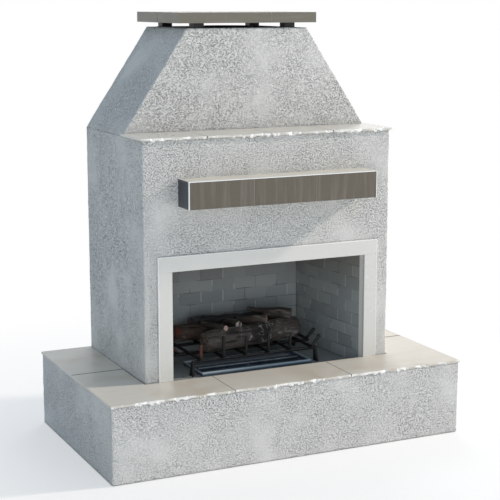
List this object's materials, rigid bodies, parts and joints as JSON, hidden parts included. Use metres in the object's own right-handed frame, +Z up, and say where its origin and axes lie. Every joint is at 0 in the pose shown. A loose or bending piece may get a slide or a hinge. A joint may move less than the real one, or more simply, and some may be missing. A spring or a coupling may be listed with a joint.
{
  "type": "outdoor fireplace",
  "caption": "Free-standing rendered fireplace with tiled hearth, box mantel, splayed brick firebox, log grate on a gas burner pan, tapering hood and flat tiled cap.",
  "frame": {"origin": "centre of the bounding box at ground level", "axes": "+Z up, front of the fireplace toward -Y, +X to the right as seen from the front"},
  "size_m": [1.72, 0.9994, 1.9485],
  "materials": {
    "galvanised_steel": "spangled zinc",
    "cement_board": "matte",
    "render": "trowelled, rough",
    "hearth_tile": "satin glaze",
    "grout": "matte",
    "surround_tile": "satin glaze",
    "white_trim": "white enamel",
    "jamb_lining": "matte",
    "taupe_tile": "satin glaze",
    "slate_tile": "satin glaze",
    "khaki_tile": "satin glaze",
    "firebrick": "matte, cast",
    "stainless": "brushed",
    "black_steel": "satin",
    "dark_steel": "gloss",
    "black_iron": "heat-proof matte",
    "pipe_steel": "satin",
    "brass": "machined",
    "yellow_lever": "dipped",
    "ceramic_log": "painted bark",
    "charred_log": "charred",
    "white_steel": "powder coat"
  },
  "bodies": {
    "fireplace": {"hearth_frame": "galvanised_steel", "hearth_front_board": "cement_board", "hearth_side_boards": "cement_board", "hearth_back_board": "cement_board", "hearth_deck_board": "cement_board", "hearth_stucco": "render", "hearth_tiles": "hearth_tile", "hearth_grout": "grout", "body_frame": "galvanised_steel", "body_front_board": "cement_board", "body_side_boards": "cement_board", "body_back_board": "cement_board", "body_stucco": "render", "shoulder_board": "cement_board", "shoulder_tiles": "hearth_tile", "lintel_angle": "galvanised_steel", "surround_head": "surround_tile", "surround_legs": "surround_tile", "surround_trim": "white_trim", "jamb_linings": "jamb_lining", "mantel_core": "cement_board", "mantel_front_tiles": "taupe_tile", "mantel_return_tiles": "slate_tile", "mantel_trim": "white_trim", "firebox_shell": "galvanised_steel", "firebox_floor_panel": "firebrick", "firebox_back_panel": "firebrick", "firebox_side_panels": "firebrick", "smoke_dome": "galvanised_steel", "flue_pipe": "stainless", "hood_frame": "galvanised_steel", "hood_front_back_boards": "cement_board", "hood_side_boards": "cement_board", "hood_top_board": "cement_board", "hood_stucco": "render", "chimney_top_plate": "black_steel", "cap_posts": "black_steel", "cap_core": "cement_board", "cap_fascia_tiles": "khaki_tile", "cap_top_tile": "khaki_tile", "burner_pan": "dark_steel", "burner_tube": "stainless", "gas_supply_pipe": "pipe_steel", "gas_valve_body": "brass", "gas_connector": "stainless", "log_grate": "black_iron", "log_front": "ceramic_log", "log_back": "ceramic_log", "log_top_charred": "charred_log", "log_small_left": "ceramic_log", "log_stub": "ceramic_log", "log_middle": "ceramic_log", "log_forked_right": "ceramic_log", "access_door_frame": "white_steel", "door_hinge_pins": "stainless", "vent_louvres": "white_steel", "door_frame_screws": "stainless"},
    "door": {"access_door": "white_steel"},
    "latch": {"door_latch": "stainless"},
    "valve_lever": {"gas_valve_lever": "yellow_lever"}
  },
  "joints": [
    {"name": "access_door_hinge", "type": "hinge", "parent": "fireplace", "child": "door", "pos_m": [-0.1976, 0.49125, 0.162], "axis": [0, 0, 1], "range_deg": [0, 110]},
    {"name": "door_latch_turn", "type": "hinge", "parent": "door", "child": "latch", "pos_m": [0.17, 0.488, 0.162], "axis": [0, -1, 0], "range_deg": [0, 90]},
    {"name": "gas_valve_turn", "type": "hinge", "parent": "fireplace", "child": "valve_lever", "pos_m": [0, 0.315, 0.176], "axis": [0, 0, 1], "range_deg": [0, 90]}
  ]
}
